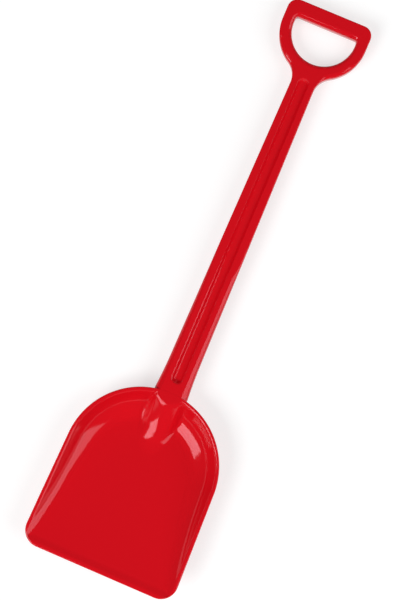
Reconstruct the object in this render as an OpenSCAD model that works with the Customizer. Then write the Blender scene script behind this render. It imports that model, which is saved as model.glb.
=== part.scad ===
// Long-handled sand shovel: a moulded scoop blade and a moulded handle with a D grip. The handle's
// tang sits in the hollow back of the blade's nose, and two screws hold it there from behind.
//
// Each piece is drawn with X across the shovel, Y from the cutting edge to the grip, and Z up, with
// the rim of the blade and the front face of the handle in the plane Z = 0. rest_pose() then lays
// the shovel on its back, on the heel of the blade and the end of the grip.

/* [Overall] */
// Length from the cutting edge to the end of the grip
overall_len = 558; // [500:1:640]

/* [Blade] */
// Length of the blade from its cutting edge to the back of its rim
blade_len = 178; // [160:1:200]
// Greatest width of the blade, at its front corners
blade_w = 150.5; // [146:0.5:170]
// Radius of the round back of the rim
arch_r = 72.5; // [66:0.5:73]
// Radius of the front corners
corner_r = 16.5; // [10:0.5:24]
// Depth of the floor below the rim at the heel
pan_depth = 22.5; // [18:0.5:28]
// Distance from the back of the rim to the heel
heel_back = 34; // [30:1:40]
// Thickness of the floor
floor_th = 2.8; // [2.2:0.1:3.6]
// Width of the lip along the rim
rim_w = 3.2; // [2.4:0.1:4]
// Thickness of the lip at its outer edge
rim_th = 1.6; // [1.2:0.1:2.4]
// Rounding of the outer edge of the lip
rim_edge = 0.7; // [0.3:0.1:0.9]
// Level run of the wall where it starts, at the cutting edge
wall_run = 5; // [4:0.5:7]
// Level run that the wall gains for each millimetre of depth
wall_lean = 0.4; // [0.3:0.05:0.6]
// Size of the fillet between wall and floor for each millimetre of depth
fillet_per_depth = 0.85; // [0.5:0.05:0.95]

/* [Nose] */
// Width of the nose that runs from the shaft down into the blade
nose_w = 31.5; // [29:0.5:34]
// Distance from the back of the rim to the bend where the nose turns down
nose_bend = 10; // [8:0.5:14]
// Slope of the nose
nose_angle = 27; // [24:1:30]
// Softness of the bend
nose_soft = 5; // [3:0.5:6]
// Height over which the sides of the nose round over
nose_side = 15; // [13:0.5:18]
// Squareness of the nose at the rim
nose_square = 4.5; // [3.5:0.1:6]
// Squareness of the nose at its toe
toe_square = 2.3; // [2:0.1:2.6]
// Thickness of the nose's shell
nose_wall = 3; // [2.6:0.1:3.4]

/* [Shaft] */
// Depth of the handle from front to back
handle_depth = 15; // [13:0.5:17]
// Rounding of the handle's edges
edge_r = 3.8; // [2.5:0.1:4.2]
// Width of the shaft below the grip
shaft_w = 22.9; // [20:0.1:25]
// Width of the shaft above its flared foot
shaft_low_w = 29.3; // [27:0.1:31]
// Width of the flared foot at the rim
foot_w = 32.5; // [31:0.1:35]
// Length of the flared foot
foot_len = 38; // [28:1:50]

/* [Grooves] */
// Width of the front groove at the face
groove_w = 10.8; // [8:0.1:12]
// Width of the front groove's floor
groove_floor_w = 5.4; // [4:0.1:7]
// Depth of the front groove
groove_depth = 5.2; // [3:0.1:5.5]
// Distance from the back of the rim to the lower end of the groove
groove_low_gap = 9.5; // [8:0.5:20]
// Distance from the end of the grip to the upper end of the groove
groove_high_gap = 66; // [63:1:90]
// Thickness of the two flanges beside the back channel
flange_w = 5.2; // [4.5:0.1:6.5]
// Depth of the back channel
channel_depth = 6; // [3:0.1:6.5]
// Distance from the back of the rim to the lower end of the back channel
channel_low_gap = 28; // [26:1:50]

/* [Grip] */
// Width of the D grip
grip_w = 82.5; // [76:0.5:92]
// Height of the crossbar in plan
bar_w = 15; // [12:0.5:17]
// Radius of the crossbar's outer corners
bar_corner_r = 9.6; // [7:0.1:12]
// Distance from the end of the grip to the centre of its round lower half
grip_centre = 21.5; // [18:0.5:24]
// Radius of the hand hole
hole_r = 30.2; // [27:0.1:31]
// Distance from the end of the grip to the centre of the hand hole
hole_centre = 20.4; // [18:0.1:22]
// Radius of the hand hole's upper corners
hole_corner_r = 2.6; // [1.5:0.1:4]
// Radius of the fillets between grip and shaft
neck_r = 20; // [14:0.5:24]

/* [Joint] */
// Gap between the handle and the blade all round the joint
joint_gap = 0.2; // [0.1:0.05:0.4]
// Width of the tang where it enters the blade
tang_w = 22; // [20:0.5:23]
// Width of the tang at its end
tang_end_w = 15; // [13:0.5:16]
// Distance from the back of the rim to the end of the tang
tang_len = 40; // [38:0.5:42]
// Depth of the tang's back below the outside of the blade
tang_recess = 1.4; // [1.2:0.1:1.8]
// Distance along the nose from its bend to the first screw
screw_first = 9; // [8:0.5:10]
// Distance between the two screws
screw_pitch = 11.5; // [10:0.5:12]
// Diameter of the bosses that the screws bite into
boss_d = 6.4; // [5.6:0.1:7]
// Length of the bosses below the shell of the nose
boss_len = 3.4; // [3:0.1:3.8]
// Diameter of the pilot holes in the bosses
pilot_d = 2.6; // [2.4:0.1:3]
// Thickness of the tang under each screw head
screw_web = 2; // [1.6:0.1:2.2]
// Clearance around each screw's shank and head
screw_gap = 0.25; // [0.15:0.05:0.4]
// Diameter of the screw heads
head_d = 5.6; // [5:0.1:6]
// Height of the screw heads
head_h = 1.7; // [1.2:0.1:1.8]
// Depth of the flat worn into the heel
heel_flat = 0.7; // [0.5:0.05:0.9]

/* [Hidden] */
plastic_red = "#CC1219";
zinc_grey = "#B9BDC1";
cut = 60;        // reach of cutting bodies past what they cut
bite = 0.5;      // overlap of bodies that are joined
rim_steps = 18;  // facets in the quarter of the rim's arch
mesh_fn = 24;    // facets of round holes, pins and groove ends

// Plan of the rim: a round back, flared sides, round front corners and a straight cutting edge
arch_y = blade_len - arch_r;
corner_x = blade_w / 2 - corner_r;
flare = acos((arch_r - corner_r) / norm([corner_x, arch_y - corner_r]))
    - atan2(arch_y - corner_r, corner_x);
side_from = [arch_r * cos(flare), arch_y + arch_r * sin(flare)];
side_to = [corner_x + corner_r * cos(flare), corner_r + corner_r * sin(flare)];

// Points along the right half of the rim, from the back to the cutting edge, each with its normal
half_rim = concat(
    [for (i = [0:rim_steps]) let (a = 90 + (flare - 90) * i / rim_steps)
        [arch_r * cos(a), arch_y + arch_r * sin(a), cos(a), sin(a)]],
    [for (i = [1:5]) let (p = side_from + (side_to - side_from) * i / 6)
        [p.x, p.y, cos(flare), sin(flare)]],
    [for (i = [0:6]) let (a = flare - (flare + 90) * i / 6)
        [corner_x + corner_r * cos(a), corner_r + corner_r * sin(a), cos(a), sin(a)]],
    [for (i = [1:4]) [corner_x * (1 - i / 4), 0, 0, -1]]
);
rim = concat(half_rim, [for (i = [len(half_rim) - 2:-1:1]) let (e = half_rim[i]) [-e[0], e[1], -e[2], e[3]]]);

// Level distance from the rim's outer edge to a point inside it
function inset(p) = let (
    side = arch_r - (abs(p.x) * cos(flare) + (p.y - arch_y) * sin(flare)),
    back = arch_r - norm([p.x, p.y - arch_y])
) min(p.y, p.y > arch_y ? back : side);

// Larger of two heights, with a soft change between them over the height k
function soft_max(a, b, k) = max(a, b) + (k > 0 ? pow(max(k - abs(a - b), 0), 2) / (4 * k) : 0);

// The floor falls steadily from the cutting edge to the heel, and the wall leans out from it
function drop(y) = pan_depth * y / (blade_len - heel_back);
function wall_fall(y) = drop(y) / (wall_run + wall_lean * drop(y));
function inner_z(p) = soft_max(
    -(inset(p) - rim_w) * wall_fall(p.y), -drop(p.y), fillet_per_depth * drop(p.y));
function outer_z(p) = soft_max(
    -rim_th - inset(p) * wall_fall(p.y), -drop(p.y) - floor_th,
    fillet_per_depth * (drop(p.y) + floor_th));

// Rings of points: level steps in from the rim, then shares of the way to the middle of the floor
level_steps = [1.5, 3, 5, 7.5, 10, 13, corner_r - 0.5];
inner_shares = [0.1, 0.22, 0.36, 0.6];
middle = [0, blade_len / 2];
function rim_at(e, s) = [e[0] - s * e[2], e[1] - s * e[3]];
function towards_middle(e, share) = let (p = rim_at(e, corner_r - 0.5)) p + (middle - p) * share;
function with_z(p, z) = [p.x, p.y, z];

// Closed body from rings of equal length, with a fan over each end
module ring_body(rings, top, bottom) {
    n = len(rings[0]);
    last = len(rings) - 1;
    polyhedron(
        points = concat([for (r = rings) each r], [top, bottom]),
        faces = concat(
            [for (k = [0:last - 1], i = [0:n - 1]) let (j = (i + 1) % n)
                each [[k * n + i, (k + 1) * n + j, k * n + j], [k * n + i, (k + 1) * n + i, (k + 1) * n + j]]],
            [for (i = [0:n - 1]) [(last + 1) * n, i, (i + 1) % n]],
            [for (i = [0:n - 1]) [(last + 1) * n + 1, last * n + (i + 1) % n, last * n + i]]
        )
    );
}

// Solid inside the blade's outer surface, up to the rim, grown outwards by gap
module outer_bowl(gap = 0) {
    ring_body(concat(
        [[for (e = rim) with_z(rim_at(e, rim_edge - gap), gap)],
         [for (e = rim) with_z(rim_at(e, -gap), -rim_edge)],
         [for (e = rim) with_z(rim_at(e, -gap), outer_z(rim_at(e, 0)) - gap)]],
        [for (s = level_steps) [for (e = rim) let (p = rim_at(e, s)) with_z(p, outer_z(p) - gap)]],
        [for (t = inner_shares) [for (e = rim) let (p = towards_middle(e, t)) with_z(p, outer_z(p) - gap)]]
    ), with_z(middle, gap), with_z(middle, outer_z(middle) - gap));
}

// Space inside the blade
module pan_space() {
    ring_body(concat(
        [[for (e = rim) with_z(rim_at(e, rim_w - bite), 2 * bite)],
         [for (e = rim) let (p = rim_at(e, rim_w + bite)) with_z(p, inner_z(p))]],
        [for (s = level_steps) if (s > rim_w + 2 * bite)
            [for (e = rim) let (p = rim_at(e, s)) with_z(p, inner_z(p))]],
        [for (t = inner_shares) [for (e = rim) let (p = towards_middle(e, t)) with_z(p, inner_z(p))]]
    ), with_z(middle, 2 * bite), with_z(middle, inner_z(middle)));
}

// Top line of the nose: level at the rim, then down into the blade after a soft bend
bend_y = blade_len - nose_bend;
toe_y = bend_y - pan_depth / tan(nose_angle);
function spine_z(y) = -soft_max(0, (bend_y - y) * tan(nose_angle), nose_soft);
function squareness(y) = toe_square
    + (nose_square - toe_square) * min(max((y - toe_y) / (bend_y - toe_y), 0), 1);
function side_drop(u, y) = nose_side * (1 - pow(1 - pow(abs(u), squareness(y)), 1 / squareness(y)));

// Solid nose: a loft of rounded sections along its top line, deep enough to reach the blade
module nose_body() {
    across = [for (i = [-9:9]) sin(i * 10)];
    stations = [for (y = [toe_y - 12:4:blade_len + 8]) y];
    rings = [for (y = stations) let (z = spine_z(y)) concat(
        [for (u = across) [u * nose_w / 2, y, z - side_drop(u, y)]],
        [[nose_w / 2, y, z - nose_side - pan_depth], [-nose_w / 2, y, z - nose_side - pan_depth]])];
    low = -pan_depth;
    ring_body(rings, [0, stations[0], spine_z(stations[0]) + low],
        [0, stations[len(stations) - 1], low]);
}

// Tang of the handle, wider and higher by gap where it makes the space for itself in the blade
tang_end_y = blade_len - tang_len;
tang_root_y = blade_len + edge_r;
shell_drop = nose_wall / cos(nose_angle) + joint_gap;
module tang(gap = 0, below = 0) {
    top = [for (y = [tang_root_y:-2:tang_end_y]) [y, spine_z(y) - shell_drop + gap]];
    end = [[tang_end_y - gap, spine_z(tang_end_y) - shell_drop + gap],
        [tang_end_y - gap, outer_z([0, tang_end_y]) + tang_recess - below]];
    foot_y = [for (y = [tang_end_y:2:blade_len]) if (outer_z([0, y]) < tang_recess - handle_depth - bite) y];
    back = [for (y = foot_y) [y, outer_z([0, y]) + tang_recess - below]];
    root = [[foot_y[len(foot_y) - 1], -handle_depth + edge_r - below], [tang_root_y, -handle_depth + edge_r - below]];
    intersection() {
        rotate([90, 0, 90]) linear_extrude(height = 2 * foot_w, center = true)
            polygon(concat(top, end, back, root));
        translate([0, 0, -cut]) linear_extrude(height = cut) polygon([
            [-tang_end_w / 2 - gap, tang_end_y - gap], [tang_end_w / 2 + gap, tang_end_y - gap],
            [tang_w / 2 + gap, blade_len - nose_bend], [tang_w / 2 + gap, tang_root_y],
            [-tang_w / 2 - gap, tang_root_y], [-tang_w / 2 - gap, blade_len - nose_bend]]);
    }
}

// Places its children at each screw, with Z square to the nose and Z = 0 on the inside of its shell
module at_screws() {
    for (i = [0:1])
        translate([0, bend_y, 0]) rotate([nose_angle, 0, 0])
            translate([0, -screw_first - i * screw_pitch, -nose_wall]) children();
}
seat = boss_len + 2 * joint_gap + screw_web;  // from the shell to the underside of a screw head

// Plan of the handle, as points with normals: D grip, neck fillet, tapering shaft and flared foot
grip_y = overall_len - grip_centre;
grip_r = grip_w / 2;
neck_c = [shaft_w / 2 + neck_r, grip_y - sqrt(pow(grip_r + neck_r, 2) - pow(shaft_w / 2 + neck_r, 2))];
neck_turn = atan2(neck_c.y - grip_y, neck_c.x);
taper_end = blade_len + foot_len;
foot_end = blade_len - arch_r / 2;
taper = atan2((shaft_low_w - shaft_w) / 2, neck_c.y - taper_end);
function foot_half(t) = (shaft_low_w + (foot_w - shaft_low_w) * t * t) / 2;
function foot_slope(t) = atan2((foot_w - shaft_low_w) * t, foot_len);
function arc(c, r, from, to, steps) = [for (i = [0:steps]) let (a = from + (to - from) * i / steps)
    [c.x + r * cos(a), c.y + r * sin(a), cos(a), sin(a)]];
function all_but_first(list) = [for (i = [1:len(list) - 1]) list[i]];
half_handle = concat(
    arc([grip_r - bar_corner_r, overall_len - bar_corner_r], bar_corner_r, 90, 0, 6),
    arc([0, grip_y], grip_r, 0, neck_turn, 12),
    [for (e = all_but_first(arc(neck_c, neck_r, neck_turn + 180, 180, 8))) [e[0], e[1], -e[2], -e[3]]],
    [[shaft_low_w / 2, taper_end, cos(taper), sin(taper)]],
    [for (t = [0.25, 0.5, 0.75, 1]) [foot_half(t), taper_end - foot_len * t, cos(foot_slope(t)), sin(foot_slope(t))]],
    [[foot_w / 2, foot_end, 1, -1]]
);

// Plan of the hand hole: straight along the crossbar, round below it
hole_y = overall_len - hole_centre;
hole_top = overall_len - bar_w;
hole_side = sqrt(pow(hole_r - hole_corner_r, 2) - pow(hole_top - hole_corner_r - hole_y, 2));
hole_turn = atan2(hole_top - hole_corner_r - hole_y, hole_side);
hole_steps = 16;
hole_low_turn = -90 + (hole_turn + 90) / (2 * hole_steps + 1);  // half a step short of the middle
half_hole = concat(
    arc([hole_side, hole_top - hole_corner_r], hole_corner_r, 90, hole_turn, 5),
    all_but_first(arc([0, hole_y], hole_r, hole_turn, hole_low_turn, hole_steps))
);

// Body with a symmetric plan: from front to back, the plan is moved in by each step's first number
// at the height given by its second
module stepped_plate(half, steps) {
    loop = concat(half, [for (i = [len(half) - 1:-1:0]) let (e = half[i]) [-e[0], e[1], -e[2], e[3]]]);
    n = len(loop);
    last = len(steps) - 1;
    strip = [for (i = [0:len(half) - 2]) each [[i, i + 1, n - 1 - i], [i + 1, n - 2 - i, n - 1 - i]]];
    polyhedron(
        points = [for (s = steps, e = loop) [e[0] - s[0] * e[2], e[1] - s[0] * e[3], s[1]]],
        faces = concat(
            [for (k = [0:last - 1], i = [0:n - 1]) let (j = (i + 1) % n)
                each [[k * n + i, (k + 1) * n + j, k * n + j], [k * n + i, (k + 1) * n + i, (k + 1) * n + j]]],
            strip,
            [for (f = strip) [for (i = [f[2], f[1], f[0]]) last * n + i]]
        )
    );
}
edge_steps = concat(
    [for (a = [0:18:90]) [edge_r * (1 - sin(a)), -edge_r * (1 - cos(a))]],
    [for (a = [90:18:180]) [edge_r * (1 - sin(a)), -handle_depth + edge_r * (1 + cos(a))]]
);
module handle_plate() {
    difference() {
        stepped_plate(half_handle, edge_steps);
        stepped_plate(half_hole, concat([[-edge_r - bite, bite]], [for (s = edge_steps) [-s[0], s[1]]],
            [[-edge_r - bite, -handle_depth - bite]]));
    }
}

// Front groove with sloping walls and round ends
module front_groove() {
    hull() for (y = [blade_len + groove_low_gap + groove_w / 2, overall_len - groove_high_gap - groove_w / 2])
        translate([0, y, -groove_depth])
            cylinder(d1 = groove_floor_w, d2 = groove_w, h = groove_depth + bite / 10, $fn = mesh_fn);
}

// Back channel that leaves a flange along each side of the shaft
module back_channel() {
    low_d = shaft_low_w - 2 * flange_w;
    high_d = shaft_w - 2 * flange_w;
    hull() {
        translate([0, blade_len + channel_low_gap + low_d / 2, -handle_depth - bite])
            cylinder(d = low_d, h = channel_depth + bite, $fn = 2 * mesh_fn);
        translate([0, overall_len - groove_high_gap - high_d / 2, -handle_depth - bite])
            cylinder(d = high_d, h = channel_depth + bite, $fn = 2 * mesh_fn);
    }
}

// Lying on its back: the table touches the heel beside the tang and the round end of the grip
heel_line = [for (y = [blade_len - heel_back - 20:1:blade_len]) let (p = [tang_w / 2, y]) [y, outer_z(p)]];
function lowest(a) = min([for (p = heel_line) p[1] * cos(a) - p[0] * sin(a)]);
function heel_at(a) = [for (p = heel_line) if (p[1] * cos(a) - p[0] * sin(a) <= lowest(a)) p][0];
grip_end = [overall_len - edge_r, edge_r - handle_depth];
heel = heel_at(atan2(pan_depth + floor_th - handle_depth, overall_len - blade_len));
to_grip = grip_end - heel - [0, heel_flat];
rest_tilt = atan2(to_grip[1], to_grip[0]) - asin(edge_r / norm(to_grip));
module rest_pose() {
    translate([0, -overall_len * cos(rest_tilt) / 2,
        edge_r + grip_end[0] * sin(rest_tilt) - grip_end[1] * cos(rest_tilt)])
        rotate([-rest_tilt, 0, 0]) children();
}

module blade() {
    color(plastic_red) difference() {
        rest_pose() difference() {
            union() {
                difference() {
                    outer_bowl();
                    difference() {
                        pan_space();
                        nose_body();
                    }
                    tang(joint_gap, cut / 2);
                }
                at_screws() translate([0, 0, -boss_len]) cylinder(d = boss_d, h = boss_len + bite, $fn = mesh_fn);
            }
            at_screws() translate([0, 0, -boss_len - bite])
                cylinder(d = pilot_d, h = boss_len + nose_wall / 2, $fn = mesh_fn);
        }
        translate([0, 0, -cut / 2]) cube([2 * blade_w, 2 * overall_len, cut], center = true);
    }
}

module handle() {
    color(plastic_red) rest_pose() difference() {
        union() {
            difference() {
                handle_plate();
                outer_bowl(joint_gap);
                front_groove();
                back_channel();
            }
            tang();
        }
        at_screws() {
            translate([0, 0, -boss_len - 2 * joint_gap])
                cylinder(d = boss_d + 2 * screw_gap, h = cut / 4, $fn = mesh_fn);
            translate([0, 0, -cut / 2]) cylinder(d = pilot_d + 4 * screw_gap, h = cut / 2, $fn = mesh_fn);
            translate([0, 0, -seat - cut / 2]) cylinder(d = head_d + 2 * screw_gap, h = cut / 2, $fn = mesh_fn);
        }
    }
}

module tang_screws() {
    color(zinc_grey) rest_pose() at_screws() {
        translate([0, 0, -seat - head_h]) cylinder(d = head_d, h = head_h, $fn = mesh_fn);
        translate([0, 0, -seat - bite])
            cylinder(d = pilot_d - screw_gap, h = seat + bite, $fn = mesh_fn);
    }
}

blade();
handle();
tang_screws();
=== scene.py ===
"""Sand shovel: a moulded red scoop on a long grooved handle with a D grip, lying on its back."""

import math
from types import SimpleNamespace

import bmesh
import bpy
import numpy as np
from bpy.props import FloatProperty, PointerProperty, StringProperty
from bpy.types import Operator, Panel, PropertyGroup
from mathutils import Matrix, Vector
from mathutils.geometry import delaunay_2d_cdt


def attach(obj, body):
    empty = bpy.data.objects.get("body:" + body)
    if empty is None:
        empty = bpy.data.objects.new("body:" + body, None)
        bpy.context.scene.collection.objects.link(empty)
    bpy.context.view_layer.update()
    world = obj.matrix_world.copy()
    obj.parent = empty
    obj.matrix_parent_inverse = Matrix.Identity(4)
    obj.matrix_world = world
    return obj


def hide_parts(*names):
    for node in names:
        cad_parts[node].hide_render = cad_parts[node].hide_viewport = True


bl_info = {
    "name": "Sand Shovel",
    "version": (1, 0, 0),
    "blender": (4, 5, 0),
    "location": "View3D > Sidebar > Shovel",
    "description": "Builds a moulded sand shovel and the studio that it lies in",
    "category": "Add Mesh",
}

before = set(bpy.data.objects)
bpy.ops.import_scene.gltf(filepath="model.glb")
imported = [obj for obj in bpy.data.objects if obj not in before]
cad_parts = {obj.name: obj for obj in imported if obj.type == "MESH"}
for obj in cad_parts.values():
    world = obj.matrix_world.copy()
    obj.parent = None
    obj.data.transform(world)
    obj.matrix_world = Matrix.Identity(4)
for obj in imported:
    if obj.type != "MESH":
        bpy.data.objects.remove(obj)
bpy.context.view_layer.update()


# Sizes and finishes that a user would change

def length(label, size, about, least=0):
    """A length property with its default and its least value given in millimetres."""
    return FloatProperty(name=label, description=about, default=size / 1000, min=least / 1000,
                         subtype="DISTANCE", unit="LENGTH")


def number(label, value, about):
    """A plain number property."""
    return FloatProperty(name=label, description=about, default=value)


def angle(label, degrees, about):
    """An angle property with its default given in degrees."""
    return FloatProperty(name=label, description=about, default=math.radians(degrees),
                         subtype="ANGLE", unit="ROTATION")


def hex_colour(label, value, about):
    """A colour property, written as an sRGB hex value."""
    return StringProperty(name=label, description=about, default=value)


class ShovelBladeSizes(PropertyGroup):
    """Lengths of the scoop."""
    blade_len: length("Length", 178, "From the cutting edge to the back of the rim")
    blade_w: length("Width", 150.5, "Across the front corners")
    arch_r: length("Arch radius", 72.5, "Radius of the round back of the rim")
    corner_r: length("Corner radius", 16.5, "Radius of the front corners")
    pan_depth: length("Depth", 22.5, "Depth of the floor below the rim at the heel")
    heel_back: length("Heel distance", 34, "From the back of the rim to the heel")
    floor_th: length("Floor thickness", 2.8, "Thickness of the floor")
    rim_w: length("Lip width", 3.2, "Width of the lip along the rim")
    rim_th: length("Lip thickness", 1.6, "Thickness of the lip at its outer edge")
    rim_edge: length("Lip edge radius", 0.75, "Rounding of the outer edge of the lip")
    front_edge: length("Front edge radius", 1.4, "Rounding of the lip's outer edge at the front corners")
    front_full: length("Front edge full length", 27, "Length of the front part with all of that rounding")
    front_len: length("Front edge length", 45, "Length of the front part over which that rounding ends")
    foot_in: length("Lip fade inside", 1, "From the foot's side inwards to where the lip's edge is sharp")
    foot_out: length("Lip fade outside", 2, "From the foot's side outwards to where the lip's edge is round")
    lip_r: length("Lip inner radius", 1.8, "Rounding of the edge where the lip turns into the wall")
    wall_run: length("Wall run", 5, "Level run of the wall's outside where it starts, at the cutting edge")
    front_depth: length("Front depth", 4.3, "Depth that the upper floor gains just behind the cutting edge")
    front_run: length("Front run", 40, "Length over which the floor gains most of its front depth")
    scoop_depth: length("Scoop depth", 20.2, "Depth of the upper floor below the rim at the heel")
    inner_run: length("Inner wall run", 3.7, "Level run of the inside of the wall at no depth")
    inner_fillet: length("Inner fillet", 5.9, "Softness of the change from the wall to the dished floor")
    dish_run: length("Dish run", 3, "Width of the floor's dished edge at no depth")
    dish_r: length("Dish radius", 14, "Radius of the floor's dished edge at no depth")
    skin: length("Skin", 2.4, "Least thickness of the scoop behind its lip")
    nose_w: length("Nose width", 27.3, "Width of the top of the nose, between its shoulders")
    nose_bend: length("Nose bend", 10, "From the back of the rim to the bend of the hollow in the nose")
    nose_soft: length("Bend softness", 3, "Softness of the hollow's bend")
    ridge_bend: length("Ridge bend", 11.7, "From the back of the rim to the bend where the nose turns down")
    bend_r: length("Bend radius", 12.8, "Radius of the bend's line in plan")
    ridge_soft: length("Ridge softness", 1.8, "Softness of the ridge's bend")
    nose_round: length("Nose shoulder", 5, "Height over which the sides of the nose round over")
    crown_r: length("Nose crown radius", 17.3, "Radius of the nose across its top")
    crown_lead: length("Crown start", 4, "Length behind the bend at which the nose starts to be round")
    crown_fade: length("Crown fade", 28.7, "Length over which the flat face turns into the round nose")
    bend_fillet: length("Bend fillet", 5.5, "Softness of the corner between nose and wall at the bend")
    toe_fillet: length("Toe fillet", 17.8, "Softness of the corner between nose and floor at the toe")


class ShovelHandleSizes(PropertyGroup):
    """Lengths of the shaft, its grooves and the grip."""
    overall_len: length("Overall length", 558, "From the cutting edge to the end of the grip")
    handle_depth: length("Depth", 15, "From the front face to the back")
    edge_r: length("Edge radius", 3.8, "Rounding of the long back edges and of the hand hole")
    face_half: length("Half face", 10.2, "From the shaft's axis to the bevel along its front edge")
    bevel_w: length("Narrow bevel", 1.4, "Least width of the bevel, along the grip")
    bevel_face: length("Bevel face edge", 0.6, "Rounding between the front face and the bevel")
    bevel_side: length("Bevel side edge", 5, "Rounding between the wide bevel and the side")
    narrow_side: length("Narrow side edge", 0.9, "Rounding between the narrow bevel and the side")
    neck_bevel: length("Neck bevel", 4, "Width of the bevel below the D")
    neck_start: length("Neck bevel start", 34, "From the end of the grip to the start of the neck's bevel")
    neck_full: length("Neck bevel full", 42, "From the end of the grip to where the neck's bevel is full")
    neck_fade: length("Neck bevel fade", 58, "From the end of the grip to where that bevel starts to fade")
    neck_end: length("Neck bevel end", 66, "From the end of the grip to the end of the neck's bevel")
    shaft_start: length("Shaft bevel start", 70, "From the end of the grip to the start of the shaft's bevel")
    shaft_full: length("Shaft bevel full", 120, "From the end of the grip to where the shaft's bevel is full")
    bevel_flat: length("Flat by the bevel", 1, "Width of the flat face that is made with the bevel")
    edge_flat: length("Flat by an edge", 0.4, "Width of the flat face that is made with a round edge")
    groove_flat: length("Flat by the groove", 1.6, "Width of the flat face that is made with the groove")
    bevel_full: length("Bevel's full end", 80, "From the rim to where the shaft's bevel starts to flatten")
    bevel_end: length("Bevel's flat end", 155, "From the rim to where the shaft's bevel is flat")
    shaft_w: length("Upper width", 22.9, "Width of the shaft below the grip")
    shaft_low_w: length("Lower width", 29.3, "Width of the shaft above its flared foot")
    foot_w: length("Foot width", 32.5, "Width of the flared foot at the rim")
    foot_len: length("Foot length", 38, "Length of the flared foot")
    groove_w: length("Groove width", 10.8, "Width of the front groove at the face")
    groove_floor_w: length("Groove floor", 5.4, "Width of the front groove's floor")
    groove_depth: length("Groove depth", 3.6, "Depth of the front groove")
    groove_high_depth: length("Groove upper depth", 2.6, "Depth of the upper part of the front groove")
    groove_high_run: length("Groove upper wall", 2.4, "Level run of the groove's walls in its upper part")
    groove_high_r: length("Groove upper edges", 0.06, "Rounding of the groove's edges in its upper part")
    groove_low_gap: length("Groove lower gap", 9.5, "From the back of the rim to the groove's lower end")
    groove_high_gap: length("Groove upper gap", 66, "From the end of the grip to the groove's upper end")
    groove_lip: length("Groove lip", 2.2, "Rounding of the groove's lips")
    groove_fillet: length("Groove fillet", 2.2, "Rounding between the groove's walls and its floor")
    flange_w: length("Back flange", 5.2, "Thickness of the flanges beside the back channel")
    channel_depth: length("Back channel depth", 6, "Depth of the back channel")
    channel_flat: length("Flat by the channel", 0.8, "Width of the flat back that is made with the channel")
    channel_draft: length("Back channel draft", 0.5, "Level run of the back channel's walls")
    channel_lip: length("Back channel lip", 0.7, "Rounding of the back channel's lips")
    channel_fillet: length("Back channel fillet", 1.4, "Rounding between its walls and its floor")
    channel_low_gap: length("Back channel gap", 28, "From the back of the rim to the back channel")
    grip_w: length("Grip width", 82.5, "Width of the D grip")
    bar_w: length("Crossbar", 15, "Height of the crossbar in plan")
    bar_corner_r: length("Crossbar corner", 9.6, "Radius of the crossbar's outer corners")
    bar_edge_r: length("Finger rounding", 4.6, "Rounding of the crossbar's inner front edge")
    grip_centre: length("Grip centre", 21.5, "From the end of the grip to the centre of its round half")
    hole_r: length("Hand hole radius", 30.2, "Radius of the hand hole")
    hole_centre: length("Hand hole centre", 20.4, "From the end of the grip to the hand hole's centre")
    hole_corner_r: length("Hand hole corner", 2.6, "Radius of the hand hole's upper corners")
    neck_r: length("Neck radius", 20, "Radius of the fillets between grip and shaft")


class ShovelJointSizes(PropertyGroup):
    """Lengths of the tang in the back of the nose, and of its screws."""
    seam: length("Seam", 0.03, "Gap between the handle and the rim")
    slot_gap: length("Slot gap", 0.2, "Gap between the tang and its slot")
    nose_wall: length("Nose wall", 3, "Thickness of the nose's shell")
    tang_w: length("Tang width", 22, "Width of the tang where it enters the blade")
    tang_end_w: length("Tang end", 15, "Width of the tang at its end")
    tang_len: length("Tang length", 40, "From the back of the rim to the end of the tang")
    tang_drop: length("Tang drop", 1.5, "Depth of the tang's top below the inside of the nose's shell")
    tang_root: length("Tang root", 12, "From the back of the rim to where the tang's root ends")
    tang_least: length("Tang least", 1, "Least thickness of the tang")
    tang_edge: length("Tang edge", 0.6, "Rounding of the tang's long edges")
    tang_recess: length("Tang recess", 1.4, "Depth of the tang's back below the outside of the blade")
    screw_first: length("First screw", 9, "Along the nose from its bend to the first screw")
    screw_pitch: length("Screw pitch", 11.5, "Distance between the two screws")
    screw_seat: length("Screw seat", 5.8, "From the nose's shell to the underside of a screw head")
    screw_gap: length("Screw gap", 0.25, "Clearance around each screw")
    shank_d: length("Shank", 2.35, "Diameter of the screws' shanks")
    head_d: length("Head", 5.6, "Diameter of the screw heads")
    head_h: length("Head height", 1.7, "Height of the screw heads")
    dome_h: length("Head dome", 0.75, "Height of the domed part of the screw heads")
    shank_gap: length("Shank end", 0.3, "From the nose's shell to the end of each shank")
    recess_half: length("Recess half", 1.736, "Half the length of each slot of the cross recess")
    recess_thin: length("Recess half width", 0.42, "Half the width of each slot of the cross recess")
    recess_deep: length("Recess depth", 1, "Depth of the cross recess")


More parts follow.
